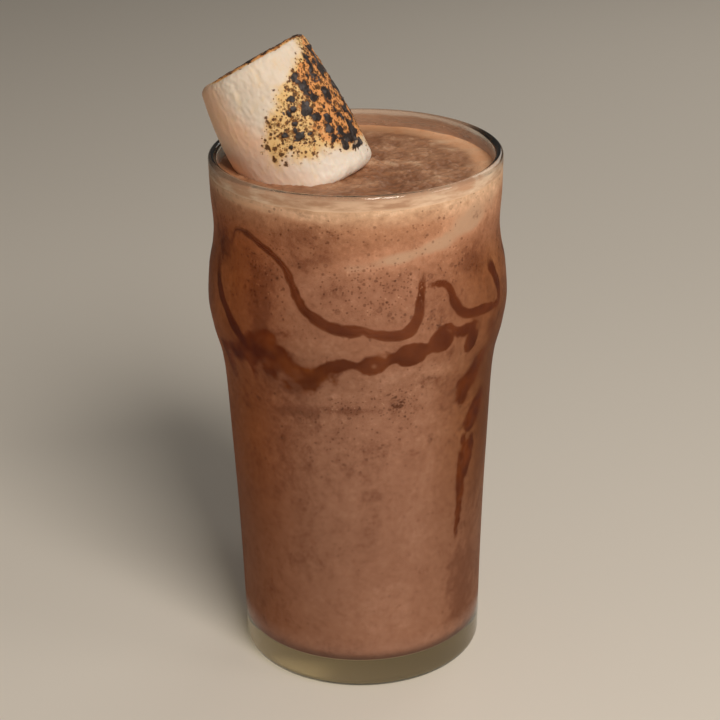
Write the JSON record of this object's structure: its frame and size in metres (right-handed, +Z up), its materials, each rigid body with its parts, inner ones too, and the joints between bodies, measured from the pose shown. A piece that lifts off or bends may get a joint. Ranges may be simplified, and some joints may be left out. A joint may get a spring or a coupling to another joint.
{
  "type": "chocolate frappe",
  "caption": "Chocolate frappe in a clear bulged pint glass, with sauce drizzled down inside the wall and a toasted marshmallow leaning in the froth.",
  "frame": {"origin": "centre of the glass's foot, on the surface it stands on", "axes": "+Z up along the glass's axis; +X to the right and -Y towards the viewer of the drizzled front; the marshmallow leans towards -X"},
  "size_m": [0.0844, 0.0844, 0.1831],
  "materials": {
    "clear_glass": "clear, smooth and glossy",
    "chocolate_drink": "opaque milk chocolate brown, mottled with fine froth",
    "toasted_marshmallow": "cream white and powdery, toasted orange brown with charred spots",
    "chocolate_sauce": "dark glossy chocolate sauce"
  },
  "bodies": {
    "root": {"glass": "clear_glass", "drink": "chocolate_drink", "marshmallow": "toasted_marshmallow", "sauce_garland": "chocolate_sauce", "sauce_band": "chocolate_sauce", "sauce_back": "chocolate_sauce", "sauce_run_1": "chocolate_sauce", "sauce_run_2": "chocolate_sauce"}
  },
  "joints": []
}
